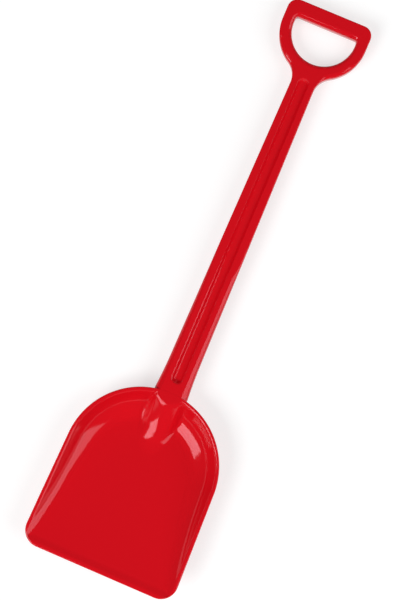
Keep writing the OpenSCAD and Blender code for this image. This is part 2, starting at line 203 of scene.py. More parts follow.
class ShovelForm(PropertyGroup):
    """Slopes and proportions of the pieces, and the shovel's rest on the floor."""
    bevel_fall: number("Bevel fall", 0.46, "Fall of the bevel for each millimetre outwards")
    neck_share: number("Neck bevel share", 0.55, "Slope of the neck's bevel as a share of the shaft's")
    flat_fall: number("Flat bevel fall", 0.1, "Fall of the bevel along the upper shaft and the grip")
    wall_lean: number("Wall lean", 0.4, "Level run that the wall gains for each millimetre of depth")
    fillet_share: number("Fillet share", 0.85, "Fillet between wall and floor for each millimetre of depth")
    nose_angle: angle("Nose slope", 27, "Slope of the nose")
    inner_lean: number("Inner wall lean", 0.38, "Level run that the inside gains per millimetre of depth")
    fillet_cap: number("Fillet cap", 0.6, "Largest inner fillet for each millimetre of depth")
    dish_share: number("Dish width", 1.55, "Width of the floor's dished edge for each millimetre of depth")
    dish_gain: number("Dish gain", 0.75, "Radius that the dished edge gains for each millimetre of depth")
    crown_share: number("Crown share", 0.97, "Share of the crown's radius that its curve follows")
    ridge_slope: number("Ridge slope", 0.651, "Fall of the nose's ridge for each millimetre forwards")
    recess_turn: angle("Recess turn", 17.1887, "Turn of the cross recesses")
    recess_taper: number("Recess taper", 0.45, "Length of the recess's tip as a share of its mouth")
    recess_thinning: number("Recess thinning", 0.7, "Width of the recess's tip as a share of its mouth")
    nose_steep: number("Nose side slope", 1.46, "Fall of the nose's sides for each millimetre outwards")
    rest_tilt: angle("Rest tilt", 1.47551, "Tilt of the shovel as it lies on its heel and grip")


class ShovelFinish(PropertyGroup):
    """Colours and gloss."""
    plastic: hex_colour("Plastic", "#D40C19", "Colour of the moulded plastic")
    sheen: hex_colour("Sheen", "#E4BCC6", "Tint that the plastic gives to its highlights")
    zinc: hex_colour("Zinc", "#C3C8CC", "Colour of the plated screws")
    gloss: number("Plastic roughness", 0.09, "Roughness of the polished mould's surface")


class ShovelStage(PropertyGroup):
    """The camera, the lamps and the floor."""
    distance: length("Camera distance", 1647, "From the camera to the point that it looks at")
    aim_x: length("Aim across", -9, "Place across the shovel that the camera looks at", -1000)
    aim_y: length("Aim along", -12.6, "Place along the shovel that the camera looks at", -1000)
    aim_z: length("Aim height", 12, "Height that the camera looks at")
    lean_x: angle("Lean across", 2.6345, "Lean of the camera towards the shovel's right")
    lean_y: angle("Lean along", 0.1252, "Lean of the camera towards the grip")
    roll: angle("Roll", 23.0284, "Turn of the picture")
    pixels_per_m: number("Scale", 1083.4, "Pixels of the picture for a metre at the aim point")
    key: number("Key lamp", 7.2, "Radiance of the key softbox, where 1 is white")
    key_from: angle("Key azimuth", -123.7, "Direction of the key softbox round the shovel")
    key_height: angle("Key height", 44.8, "Height of the key softbox above the horizon")
    key_across: angle("Key width", 32, "Angle that the key softbox fills across")
    key_up: angle("Key rise", 34, "Angle that the key softbox fills upwards")
    side: number("Side lamp", 3.1, "Radiance of the side softbox, where 1 is white")
    side_from: angle("Side azimuth", 8.3, "Direction of the side softbox round the shovel")
    side_height: angle("Side height", 38.9, "Height of the side softbox above the horizon")
    side_across: angle("Side width", 42, "Angle that the side softbox fills across")
    side_up: angle("Side rise", 46, "Angle that the side softbox fills upwards")
    lamp_away: length("Lamp distance", 3000, "From the middle of the shovel to the softboxes")
    floor_half: length("Floor half", 18000, "From the middle of the floor to the backdrop")
    wall_high: length("Backdrop height", 3550, "Height of the low white backdrop round the floor")
    fill: number("Fill", 0.12, "Radiance of the studio all round, where 1 is white")
    glow: number("Table glow", 0.66, "White that the table shows the camera in full shadow")
    white_from: length("White from", 400, "Distance at which the table starts to turn plain white")
    white_to: length("White to", 900, "Distance at which the table is plain white")
    shade: hex_colour("Table shade", "#AAAAAA", "Colour in which the table shows the camera light and shadow")
    floor: hex_colour("Floor", "#F2F2F2", "Colour of the table")


GROUPS = {
    "shovel_blade": ShovelBladeSizes,
    "shovel_handle": ShovelHandleSizes,
    "shovel_joint": ShovelJointSizes,
    "shovel_form": ShovelForm,
    "shovel_finish": ShovelFinish,
    "shovel_stage": ShovelStage,
}


def all_sizes():
    """Every length in millimetres, with the slopes and proportions, by name."""
    scene = bpy.context.scene
    sizes = {}
    for group in (scene.shovel_blade, scene.shovel_handle, scene.shovel_joint):
        sizes.update({name: getattr(group, name) * 1000 for name in group.__annotations__})
    sizes.update({name: getattr(scene.shovel_form, name) for name in scene.shovel_form.__annotations__})
    return SimpleNamespace(**sizes)


# Forms. They are in millimetres, with X across, Y from the cutting edge to the grip, and the rim and
# the front face of the handle at Z = 0.

LEAST_DEPTH = 1e-3  # keeps the floor below the lip at the cutting edge
LEAST_EDGE = 0.01  # keeps the rings of a sharp edge apart
STRIP_HALF = 0.05  # half the gap that the strip along a groove's floor closes
CUT_PAST = 1  # how far a cutting body passes the face that it opens
CAPSULE_ENDS, CAPSULE_SIDES = 20, 40  # steps round each end and along each side of a groove
QUARTER = np.radians(np.linspace(0, 90, 11))  # turns of a round edge


def soft_max(a, b, k):
    """The larger of two heights, with a round change between them over the height k."""
    return np.maximum(a, b) + np.maximum(k - np.abs(a - b), 0) ** 2 / (4 * np.maximum(k, 1e-6))


def smooth_step(low, high, value):
    """0 below low, 1 above high, and a smooth change between."""
    t = np.clip((value - low) / (high - low), 0, 1)
    return t * t * (3 - 2 * t)


def arc(centre, radius, start, end, steps, first=0):
    """Points of an arc with their normals, as rows of x, y, normal x, normal y. Angles are in degrees."""
    turn = np.radians(start + (end - start) * np.arange(first, steps + 1) / steps)
    c, s = np.cos(turn), np.sin(turn)
    return np.stack([centre[0] + radius * c, centre[1] + radius * s, c, s], 1)


def line(start, end, normal, steps, first=0, last=0):
    """Points along a line with its normal, without the first and last ones named."""
    share = (np.arange(first, steps + 1 - last) / steps)[:, None]
    points = np.asarray(start) + (np.asarray(end) - np.asarray(start)) * share
    return np.hstack([points, np.tile(normal, (len(points), 1))])


def both_sides(half):
    """A closed loop from its right half. A point on the axis isn't doubled."""
    left = half[::-1] * [-1, 1, -1, 1]
    return np.vstack([half, left[np.abs(left[:, 0]) > 1e-6]])


def moved_in(loop, distance):
    """The loop's points, moved against their normals."""
    return loop[:, :2] - np.reshape(distance, (-1, 1)) * loop[:, 2:]


class Rim:
    """Plan of the scoop's rim: a round back, flared sides, round front corners and a straight edge."""

    def __init__(self, s):
        self.arch_r, self.arch_y = s.arch_r, s.blade_len - s.arch_r
        corner_x = s.blade_w / 2 - s.corner_r
        run = self.arch_y - s.corner_r
        between = math.hypot(corner_x, run)
        self.flare = math.acos((s.arch_r - s.corner_r) / between) - math.atan2(run, corner_x)
        normal = (math.cos(self.flare), math.sin(self.flare))
        side_from = (s.arch_r * normal[0], self.arch_y + s.arch_r * normal[1])
        side_to = (corner_x + s.corner_r * normal[0], s.corner_r + s.corner_r * normal[1])
        flare = math.degrees(self.flare)
        near_nose = 70  # degrees round the arch, behind which the points lie closer
        half = np.vstack([
            arc((0, self.arch_y), s.arch_r, 90, near_nose, 64),
            arc((0, self.arch_y), s.arch_r, near_nose, flare, 78, first=1),
            line(side_from, side_to, normal, 40, first=1, last=1),
            arc((corner_x, s.corner_r), s.corner_r, flare, -90, 24),
            line((corner_x, 0), (0, 0), (0, -1), 30, first=1),
        ])
        self.loop = both_sides(half)

    def inset(self, x, y):
        """Level distance from the outside of the rim."""
        side = self.arch_r - (np.abs(x) * math.cos(self.flare) + (y - self.arch_y) * math.sin(self.flare))
        back = self.arch_r - np.hypot(x, y - self.arch_y)
        return np.minimum(y, np.where(y > self.arch_y, back, side))


def spine(s, y):
    """Top line of the nose: level at the rim, then down into the scoop after a soft bend."""
    return -soft_max(0 * y, (s.blade_len - s.nose_bend - y) * math.tan(s.nose_angle), s.nose_soft)


def floor_drop(s, y):
    """Depth of the floor, which falls steadily from the cutting edge to the heel."""
    return s.pan_depth * y / (s.blade_len - s.heel_back)


def scoop_pan(s, rim, x, y):
    """Height of the scoop's upper surface without the nose."""
    y = np.maximum(y, 0)
    depth = (s.front_depth * (1 - np.exp(-y / s.front_run))
             + (s.scoop_depth - s.front_depth) * y / (s.blade_len - s.heel_back) + LEAST_DEPTH)
    inset = rim.inset(x, y)
    fall = depth / (s.inner_run + s.inner_lean * depth)
    wall = -(inset - s.rim_w) * fall
    dished = np.maximum(s.dish_run + s.dish_share * depth - inset, 0)
    dish = dished ** 2 / (2 * (s.dish_r + s.dish_gain * depth))
    pan = soft_max(wall, np.minimum(dish, depth) - depth, np.minimum(s.inner_fillet, s.fillet_cap * depth))
    return -soft_max(0 * pan, -pan, s.lip_r * fall ** 2 / 2)


def scoop_top(s, rim, x, y):
    """Height of the scoop's upper surface: lip, leaning wall, dished floor and nose."""
    pan = scoop_pan(s, rim, x, y)
    bend = s.blade_len - s.ridge_bend
    fall = (bend + x ** 2 / (2 * s.bend_r) - y) * s.ridge_slope
    low = np.clip(fall / s.scoop_depth, 0, 1)
    across = np.minimum(np.abs(x), s.crown_share * s.crown_r)
    grown = np.clip((bend + s.crown_lead - y) / s.crown_fade, 0, 1)
    crown = (s.crown_r - np.sqrt(s.crown_r ** 2 - across ** 2)) * grown
    sides = soft_max(0 * x, (np.abs(x) - s.nose_w / 2) * s.nose_steep, s.nose_round)
    nose = -soft_max(0 * fall, fall, s.ridge_soft) - crown - sides
    fillet = s.bend_fillet + (s.toe_fillet - s.bend_fillet) * np.sqrt(low)
    return soft_max(pan, nose, np.minimum(fillet, -pan))


def scoop_under(s, rim, x, y):
    """Height of the scoop's lower surface."""
    drop = floor_drop(s, y)
    fall = drop / (s.wall_run + s.wall_lean * drop)
    inset = rim.inset(x, y)
    under = soft_max(-s.rim_th - inset * fall, -drop - s.floor_th, s.fillet_share * (drop + s.floor_th))
    skin = s.rim_th + (s.skin - s.rim_th) * smooth_step(0, 2 * s.rim_w, inset)
    return np.minimum(under, scoop_pan(s, rim, x, y) - skin)


def at_rest(s, points):
    """Points in metres in the shared frame, with the shovel on its heel and the end of its grip."""
    points = np.asarray(points, float)
    c, n = math.cos(s.rest_tilt), math.sin(s.rest_tilt)
    grip = (s.overall_len - s.edge_r, s.edge_r - s.handle_depth)
    y = points[:, 1] * c + points[:, 2] * n - s.overall_len * c / 2
    z = -points[:, 1] * n + points[:, 2] * c + s.edge_r + grip[0] * n - grip[1] * c
    return np.stack([points[:, 0], y, np.maximum(z, 0)], 1) / 1000


def ring_faces(rings, count, start=0):
    """Quads between rings of points that follow one another."""
    i = np.arange(count)
    j = (i + 1) % count
    return np.vstack([np.stack([a + i, a + count + i, a + count + j, a + j], 1)
                      for a in start + count * np.arange(rings - 1)]).tolist()


def closed_body(rings, first, last):
    """Points and faces of rings that are closed by a point before the first and one after the last."""
    count = len(rings[0])
    points = np.vstack(rings + [[first], [last]])
    faces = ring_faces(len(rings), count)
    start = (len(rings) - 1) * count
    for i in range(count):
        j = (i + 1) % count
        faces.append([len(points) - 2, i, j])
        faces.append([len(points) - 1, start + j, start + i])
    return points, faces


def mesh_of(name, points, faces):
    """A mesh with its faces turned outwards."""
    mesh = bpy.data.meshes.new(name)
    mesh.from_pydata(np.asarray(points).tolist(), [], faces)
    work = bmesh.new()
    work.from_mesh(mesh)
    bmesh.ops.remove_doubles(work, verts=work.verts, dist=1e-7)
    bmesh.ops.recalc_face_normals(work, faces=work.faces)
    work.to_mesh(mesh)
    work.free()
    return mesh


def piece(name, mesh):
    """An object in the scene with that mesh."""
    made = bpy.data.objects.new(name, mesh)
    bpy.context.scene.collection.objects.link(made)
    return made


def combine(target, other, operation):
    """Cuts the other body from the target, or joins it on, and removes the other body."""
    step = target.modifiers.new(operation, "BOOLEAN")
    step.operation, step.object, step.solver = operation, other, "EXACT"
    graph = bpy.context.evaluated_depsgraph_get()
    result = bpy.data.meshes.new_from_object(target.evaluated_get(graph))
    if not result.polygons:
        raise RuntimeError(f"{operation.lower()} left nothing of {target.name}")
    target.modifiers.clear()
    target.data = result
    bpy.data.objects.remove(other)


def finish_piece(made, node, material, sharp=32):
    """Smooth faces with crisp edges, the finish, and the piece's place among the part's nodes."""
    mesh = made.data
    mesh.materials.clear()
    mesh.materials.append(material)
    mesh.shade_smooth()
    mesh.set_sharp_from_angle(angle=math.radians(sharp))
    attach(made, "root")
    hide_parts(node)


# Scoop

def lip_edge(s, rim):
    """Rounding of the lip's outer edge along the rim: wider at the front, and sharp under the foot."""
    x, y = np.abs(rim.loop[:, 0]), rim.loop[:, 1]
    edge = s.front_edge + (s.rim_edge - s.front_edge) * smooth_step(s.front_full, s.front_len, y)
    beside_foot = smooth_step(s.foot_w / 2 - s.foot_in, s.foot_w / 2 + s.foot_out, x)
    return edge * np.where(y > rim.arch_y, beside_foot, 1) + LEAST_EDGE


def toward_middle(plan, middle, steps):
    """Plans of the rings between a ring and the middle of the scoop."""
    return [plan + (middle - plan) * share for share in np.linspace(0, 1, steps, endpoint=False)[1:]]


def scoop_body(s, rim, gap=0.0, nose=True):
    """Closed body of the scoop, or, with no nose, the full bowl grown by gap."""
    loop = rim.loop
    middle = np.array([0, s.blade_len / 2])
    edge = lip_edge(s, rim)
    last_in = s.corner_r - 0.6  # just short of the front corners' centres, where the points would meet
    core = moved_in(loop, last_in)
    top = []
    for turn in np.radians(np.linspace(0, 90, 7)):
        plan = moved_in(loop, edge * (1 - math.cos(turn)) - gap)
        top.append(np.column_stack([plan, -edge * (1 - math.sin(turn)) + gap]))
    if nose:
        lip_insets, wall_insets = np.linspace(1.6, 5.2, 16), np.linspace(5.8, last_in, 15)
        plans = [moved_in(loop, inset) for inset in np.concatenate([lip_insets, wall_insets])]
        for plan in plans + toward_middle(core, middle, 110):
            top.append(np.column_stack([plan, scoop_top(s, rim, plan[:, 0], plan[:, 1])]))
    top_middle = float(scoop_top(s, rim, *middle)) if nose else gap
    outside = np.column_stack([moved_in(loop, -gap), scoop_under(s, rim, loop[:, 0], loop[:, 1]) - gap])
    under = [outside]
    plans = [moved_in(loop, inset) for inset in np.linspace(0.8, last_in, 20)]
    for plan in plans + toward_middle(core, middle, 44):
        under.append(np.column_stack([plan, scoop_under(s, rim, plan[:, 0], plan[:, 1]) - gap]))
    under_middle = float(scoop_under(s, rim, *middle)) - gap
    return closed_body(top[::-1] + under, [*middle, top_middle], [*middle, under_middle])


def tang_body(s, rim, gap=0.0, below=0.0):
    """Closed body of the tang in the hollow of the nose, or, with a gap, of the slot for it."""
    bend_y = s.blade_len - s.nose_bend
    end_y, root_y = s.blade_len - s.tang_len, s.blade_len + s.edge_r
    shell = s.nose_wall / math.cos(s.nose_angle) + s.slot_gap + s.tang_drop
    stations = np.linspace(end_y - gap, root_y, 60)
    widening = np.clip((stations - end_y) / (bend_y - end_y), 0, 1)
    width = (s.tang_end_w + (s.tang_w - s.tang_end_w) * widening) / 2 + gap
    high = spine(s, stations) - shell + gap
    inside_rim = np.minimum(stations, s.blade_len - 1)
    back = scoop_under(s, rim, 0 * stations, inside_rim) + s.tang_recess
    low = np.where(stations > s.blade_len - s.tang_root, s.edge_r - s.handle_depth, back) - below
    low = np.minimum(low, high - s.tang_least)
    r = s.tang_edge
    rings = []
    for y, half_w, top, bottom in zip(stations, width - r, high - r, low + r):
        ring = []
        corners = ((half_w, top, 90), (half_w, bottom, 0), (-half_w, bottom, -90), (-half_w, top, -180))
        for x, z, start in corners:
            for turn in np.radians(start - np.linspace(0, 90, 4)):
                ring.append((x + r * math.cos(turn), y, z + r * math.sin(turn)))
        rings.append(np.array(ring))
    count = len(rings[0])
    faces = ring_faces(len(rings), count)
    faces.append(list(range(count)))
    faces.append(list(range((len(rings) - 1) * count, len(rings) * count))[::-1])
    return np.vstack(rings), faces


def build_blade():
    """The scoop, with the slot for the tang in the back of its nose."""
    s = all_sizes()
    rim = Rim(s)
    points, faces = scoop_body(s, rim)
    made = piece("scoop", mesh_of("scoop", at_rest(s, points), faces))
    through_floor = s.floor_th + 12
    points, faces = tang_body(s, rim, s.slot_gap, through_floor)
    combine(made, piece("slot", mesh_of("slot", lifted(s, points), faces)), "DIFFERENCE")
    return made


def lifted(s, points):
    """Points at rest, for a cutting body that may reach below the table."""
    points = np.asarray(points, float)
    above = np.array([[0, 0, 100.0]])
    return at_rest(s, points + above) - at_rest(s, above) + at_rest(s, 0 * above)


# Handle

def handle_half(s):
    """Right half of the handle's plan, from the crossbar to the foot."""
    grip_y, grip_r = s.overall_len - s.grip_centre, s.grip_w / 2
    neck = np.array([s.shaft_w / 2 + s.neck_r,
                     grip_y - math.sqrt((grip_r + s.neck_r) ** 2 - (s.shaft_w / 2 + s.neck_r) ** 2)])
    turn = math.degrees(math.atan2(neck[1] - grip_y, neck[0]))
    taper_end, foot_end = s.blade_len + s.foot_len, s.blade_len - s.arch_r / 2
    taper = math.atan2((s.shaft_low_w - s.shaft_w) / 2, neck[1] - taper_end)
    t = np.linspace(0, 1, 17)[1:]
    slope = np.arctan2((s.foot_w - s.shaft_low_w) * t, s.foot_len)
    foot = np.stack([(s.shaft_low_w + (s.foot_w - s.shaft_low_w) * t * t) / 2, taper_end - s.foot_len * t,
                     np.cos(slope), np.sin(slope)], 1)
    return np.vstack([
        arc((grip_r - s.bar_corner_r, s.overall_len - s.bar_corner_r), s.bar_corner_r, 90, 0, 20),
        arc((0, grip_y), grip_r, 0, turn, 56),
        arc(neck, s.neck_r, turn + 180, 180, 36, first=1) * [1, 1, -1, -1],
        line((s.shaft_w / 2, neck[1]), (s.shaft_low_w / 2, taper_end),
             (math.cos(taper), math.sin(taper)), 40, first=1),
        foot,
        line((s.foot_w / 2, s.blade_len), (s.foot_w / 2, foot_end), (1, 0), 4, first=1, last=1),
        [[s.foot_w / 2, foot_end, 1, -1]],
    ])


def hole_half(s):
    """Right half of the hand hole's plan, from the crossbar down."""
    centre = s.overall_len - s.hole_centre
    top = s.overall_len - s.bar_w
    rise = top - s.hole_corner_r - centre
    side = math.sqrt((s.hole_r - s.hole_corner_r) ** 2 - rise ** 2)
    turn = math.degrees(math.atan2(rise, side))
    return np.vstack([
        line((0, top), (side, top), (0, 1), 24, last=1),
        arc((side, top - s.hole_corner_r), s.hole_corner_r, 90, turn, 12),
        arc((0, centre), s.hole_r, turn, -90, 72, first=1),
    ])


def capsule(low, low_r, high, high_r):
    """Closed plan of two circles on the axis and the lines that touch both, with normals."""
    lean = math.degrees(math.asin((low_r - high_r) / (high - low)))
    up = arc((0, high), high_r, lean, 180 - lean, CAPSULE_ENDS)
    down = arc((0, low), low_r, 180 - lean, 360 + lean, CAPSULE_ENDS)
    return np.vstack([
        up,
        line(up[-1, :2], down[0, :2], up[-1, 2:], CAPSULE_SIDES, first=1, last=1),
        down,
        line(down[-1, :2], up[0, :2], up[0, 2:], CAPSULE_SIDES, first=1, last=1),
    ])


def rounded_path(corners, radii, steps=6):
    """A path through the corners, with each inner corner rounded by its radius."""
    path = [np.array(corners[0], float)]
    for before, here, after, radius in zip(corners, corners[1:], corners[2:], radii):
        before, here, after = (np.array(p, float) for p in (before, here, after))
        a = (before - here) / np.linalg.norm(before - here)
        b = (after - here) / np.linalg.norm(after - here)
        half = math.acos(np.clip(a @ b, -1, 1)) / 2
        centre = here + (a + b) / np.linalg.norm(a + b) * radius / math.sin(half)
        reach = radius / math.tan(half)
        first, last = here + a * reach - centre, here + b * reach - centre
        start = math.atan2(first[1], first[0])
        sweep = (math.atan2(last[1], last[0]) - start + math.pi) % (2 * math.pi) - math.pi
        for t in np.linspace(0, 1, steps + 1):
            turn = start + sweep * t
            path.append(centre + radius * np.array([math.cos(turn), math.sin(turn)]))
    path.append(np.array(corners[-1], float))
    return np.array(path)


def bevel_path(s, width, share):
    """Path from the front face over the bevel to the side, as distances in and heights."""
    fall = width * (s.flat_fall + (s.bevel_fall - s.flat_fall) * share)
    side = s.narrow_side + (s.bevel_side - s.narrow_side) * share
    return rounded_path([(width + s.bevel_flat, 0), (width, 0), (0, -fall), (0, -fall - 2 * side)],
                        [s.bevel_face, side], 8)[:-1]


def round_path(s, radius):
    """Path from the front face over a round edge to the side, as distances in and heights."""
    run, drop = radius * (1 - np.sin(QUARTER)), radius * (1 - np.cos(QUARTER))
    return np.vstack([[radius + s.edge_flat, 0], np.column_stack([run, -drop])])


def plate_side(s, loop, paths, inward):
    """Rings down the side of the plate, with a margin of the flat face at both ends."""
    def ring(run, height):
        """The loop moved in by that run, at that height."""
        return np.column_stack([moved_in(loop, np.broadcast_to(inward * run, len(loop))),
                                np.broadcast_to(height, len(loop))])

    rings = [ring(step[:, 0], step[:, 1]) for step in np.swapaxes(paths, 0, 1)]
    for turn in QUARTER[::-1]:
        rings.append(ring(s.edge_r * (1 - math.sin(turn)), s.edge_r * (1 - math.cos(turn)) - s.handle_depth))
    rings.append(ring(s.edge_r + s.edge_flat, -s.handle_depth))
    return rings


def outer_side(s):
    """Rings of the handle's outside, with its bevel."""
    outer = both_sides(handle_half(s))
    from_end = s.overall_len - outer[:, 1]
    on_shaft = smooth_step(s.shaft_start, s.shaft_full, from_end)
    on_neck = (smooth_step(s.neck_start, s.neck_full, from_end)
               * smooth_step(s.neck_end, s.neck_fade, from_end))
    narrow = s.bevel_w + (s.neck_bevel - s.bevel_w) * on_neck
    width = np.maximum((np.abs(outer[:, 0]) - s.face_half) * on_shaft, narrow)
    share = smooth_step(s.blade_len + s.bevel_end, s.blade_len + s.bevel_full, outer[:, 1])
    share = share + s.neck_share * on_neck
    return plate_side(s, outer, np.array([bevel_path(s, w, b) for w, b in zip(width, share)]), 1)


def hole_side(s):
    """Rings of the hand hole's inside, with the wider rounding under the crossbar."""
    hole = both_sides(hole_half(s))
    top = s.overall_len - s.bar_w
    facing_some, facing_full = 0.6, 0.95  # shares of the edge's normal that point at the crossbar
    on_bar = (smooth_step(facing_some, facing_full, hole[:, 3])
              * smooth_step(s.hole_corner_r, 0, top - hole[:, 1]))
    radii = s.edge_r + (s.bar_edge_r - s.edge_r) * on_bar
    return plate_side(s, hole, np.array([round_path(s, r) for r in radii]), -1)


def groove_rings(s):
    """Rings of the front groove, from its lip to its floor. It is shallower in its upper part."""
    half_w, half_floor = s.groove_w / 2, s.groove_floor_w / 2
    low = s.blade_len + s.groove_low_gap + half_w
    high = s.overall_len - s.groove_high_gap - half_w

    def path(floor, depth, radii):
        """Half of the groove's section, as distances from its axis and heights."""
        corners = [(half_w + s.groove_flat, 0), (half_w, 0), (floor, -depth), (STRIP_HALF, -depth)]
        return rounded_path(corners, radii, 7)

    lower = path(half_floor, s.groove_depth, [s.groove_lip, s.groove_fillet])
    upper = path(half_w - s.groove_high_run, s.groove_high_depth, [s.groove_high_r, s.groove_high_r])
    plan = capsule(low, half_w, high, half_w)
    up = smooth_step(s.blade_len + s.bevel_full, s.blade_len + s.bevel_end, plan[:, 1:2])
    steps = [a + (b - a) * up for a, b in zip(lower, upper)]
    return [np.column_stack([moved_in(plan, half_w - step[:, 0]), step[:, 1]]) for step in steps]


def channel_rings(s):
    """Rings of the back channel, from its lip to its floor."""
    low_r, high_r = s.shaft_low_w / 2 - s.flange_w, s.shaft_w / 2 - s.flange_w
    low = s.blade_len + s.channel_low_gap + low_r
    high = s.overall_len - s.groove_high_gap - high_r
    corners = [(s.channel_flat, 0), (0, 0), (-s.channel_draft, s.channel_depth),
               (STRIP_HALF - high_r, s.channel_depth)]
    path = rounded_path(corners, [s.channel_lip, s.channel_fillet], 7)
    plan = capsule(low, low_r, high, high_r)
    return [np.column_stack([moved_in(plan, -out), np.full(len(plan), z - s.handle_depth)])
            for out, z in path]


def handle_body(s):
    """The handle's points and faces, and the loops that bound its flat front and its flat back."""
    points, faces, fronts, backs = [], [], [], []

    def add(rings):
        """Adds rings of points with the faces between them, and gives the first and the last loop."""
        start = sum(len(ring) for ring in points)
        count = len(rings[0])
        points.extend(rings)
        faces.extend(ring_faces(len(rings), count, start))
        end = start + (len(rings) - 1) * count
        return list(range(start, start + count)), list(range(end, end + count))

    for rings in (outer_side(s), hole_side(s)):
        front, back = add(rings)
        fronts.append(front)
        backs.append(back)
    for rings, face in ((groove_rings(s), fronts), (channel_rings(s), backs)):
        lip, floor = add(rings)
        face.append(lip)
        faces.extend(floor_strip(floor))
    return np.vstack(points), faces, fronts, backs


def floor_strip(loop):
    """Faces that close the floor of a groove between its two sides."""
    count, half_end = len(loop), CAPSULE_ENDS // 2
    right = [loop[i % count] for i in range(count - CAPSULE_SIDES - half_end + 1, count + half_end + 1)]
    left = [loop[i % count] for i in range(CAPSULE_ENDS + CAPSULE_SIDES + half_end, half_end, -1)]
    return [list(dict.fromkeys(corners)) for corners in zip(right, right[1:], left[1:], left)]


def fill_faces(points, faces, groups):
    """The mesh with each flat face filled between its outline and the outlines of its openings."""
    work = bmesh.new()
    verts = [work.verts.new(p) for p in points]
    for face in faces:
        work.faces.new([verts[i] for i in face])
    inside = 1
    for loops in groups:
        used = [i for loop in loops for i in loop]
        owner = [n for n, loop in enumerate(loops) for i in loop]
        place = {i: n for n, i in enumerate(used)}
        edges = [(place[a], place[b]) for loop in loops for a, b in zip(loop, loop[1:] + loop[:1])]
        filled = delaunay_2d_cdt([Vector(points[i][:2]) for i in used], edges, [], inside, 1e-8)
        for triangle in filled[2]:
            corners = [filled[3][n][0] for n in triangle]
            owners = {owner[n] for n in corners}
            if len(owners) > 1 or 0 in owners:  # the openings are convex, so no other triangle lies in one
                work.faces.new([verts[used[n]] for n in corners])
    bmesh.ops.recalc_face_normals(work, faces=work.faces)
    mesh = bpy.data.meshes.new("handle")
    work.to_mesh(mesh)
    work.free()
    return mesh


def screw_places(s):
    """Frames of the screws, with Z square to the nose and the origin on the inside of its shell."""
    bend = Matrix.Translation((0, s.blade_len - s.nose_bend, 0)) @ Matrix.Rotation(s.nose_angle, 4, "X")
    steps = (s.screw_first, s.screw_first + s.screw_pitch)
    return [bend @ Matrix.Translation((0, -step, -s.nose_wall)) for step in steps]


def turned(profile, steps=48):
    """Closed body turned about Z from a profile of radius and height that starts and ends on the axis."""
    angles = np.linspace(0, 2 * np.pi, steps, endpoint=False)
    rings = [np.column_stack([r * np.cos(angles), r * np.sin(angles), np.full(steps, z)])
             for r, z in profile[1:-1]]
    return closed_body(rings, [0, 0, profile[0][1]], [0, 0, profile[-1][1]])


def placed(points, place):
    """Points moved into a screw's frame."""
    turn = np.array(place.to_3x3())
    return np.asarray(points) @ turn.T + np.array(place.translation)


def build_handle():
    """The shaft and D grip with the tang, cut to the outside of the scoop."""
    s = all_sizes()
    rim = Rim(s)
    points, faces, fronts, backs = handle_body(s)
    made = piece("handle_moulding", fill_faces(at_rest(s, points), faces, (fronts, backs)))
    points, faces = scoop_body(s, rim, s.seam, nose=False)
    combine(made, piece("bowl", mesh_of("bowl", lifted(s, points), faces)), "DIFFERENCE")
    points, faces = tang_body(s, rim)
    combine(made, piece("tang", mesh_of("tang", at_rest(s, points), faces)), "UNION")
    past_back = 25
    head_r, shank_r = s.head_d / 2 + s.screw_gap, s.shank_d / 2 + s.screw_gap
    well = [(0, -past_back), (head_r, -past_back), (head_r, -s.screw_seat),
            (shank_r, -s.screw_seat), (shank_r, CUT_PAST), (0, CUT_PAST)]
    for place in screw_places(s):
        points, faces = turned(well)
        combine(made, piece("hole", mesh_of("hole", lifted(s, placed(points, place)), faces)), "DIFFERENCE")
    return made


def recess_slot(s, top):
    """Closed body of one slot of a cross recess, which tapers from its mouth to its tip."""
    above_head = 0.4
    mouth = (s.recess_half, s.recess_thin, top - above_head)
    tip = (s.recess_half * s.recess_taper, s.recess_thin * s.recess_thinning, top + s.recess_deep)
    corners = [(x * w, y * t, z) for w, t, z in (mouth, tip) for x, y in ((-1, -1), (1, -1), (1, 1), (-1, 1))]
    sides = [[i, i + 4, (i + 1) % 4 + 4, (i + 1) % 4] for i in range(4)]
    return corners, [[0, 1, 2, 3], [7, 6, 5, 4]] + sides


def build_screws():
    """Two pan-head screws with cross recesses."""
    s = all_sizes()
    head_r, shank_r = s.head_d / 2, s.shank_d / 2
    under, top = -s.screw_seat, -s.screw_seat - s.head_h
    turns = np.radians(np.linspace(12, 90, 9))
    dome = [(head_r * math.sin(a), top + s.dome_h * (1 - math.cos(a))) for a in turns]
    shank = [(head_r, under), (shank_r, under), (shank_r, -s.shank_gap), (0, -s.shank_gap)]
    body, body_faces = turned([(0, top)] + dome + shank)
    slot, slot_faces = recess_slot(s, top)
    points, faces = [], []
    for place in screw_places(s):
        screw = piece("tang_screw", mesh_of("tang_screw", at_rest(s, placed(body, place)), body_faces))
        for turn in (0, math.pi / 2):
            corners = placed(slot, place @ Matrix.Rotation(turn + s.recess_turn, 4, "Z"))
            combine(screw, piece("recess", mesh_of("recess", lifted(s, corners), slot_faces)), "DIFFERENCE")
        start = len(points)
        points.extend(v.co.copy() for v in screw.data.vertices)
        faces.extend([start + i for i in p.vertices] for p in screw.data.polygons)
        bpy.data.objects.remove(screw)
    return piece("tang_screws_plated", mesh_of("tang_screws_plated", points, faces))


# Materials

def linear(value):
    """A colour as linear RGBA, from its sRGB hex value."""
    parts = [int(value.lstrip("#")[i:i + 2], 16) / 255 for i in (0, 2, 4)]
    return tuple(p / 12.92 if p <= 0.04045 else ((p + 0.055) / 1.055) ** 2.4 for p in parts) + (1.0,)


def add_node(tree, kind, inputs=None, **settings):
    """A node with its settings, and with each input set to a value or linked to a socket."""
    made = tree.nodes.new(kind)
    for name, value in settings.items():
        setattr(made, name, value)
    for name, value in (inputs or {}).items():
        if isinstance(value, bpy.types.NodeSocket):
            tree.links.new(value, made.inputs[name])
        else:
            made.inputs[name].default_value = value
    return made


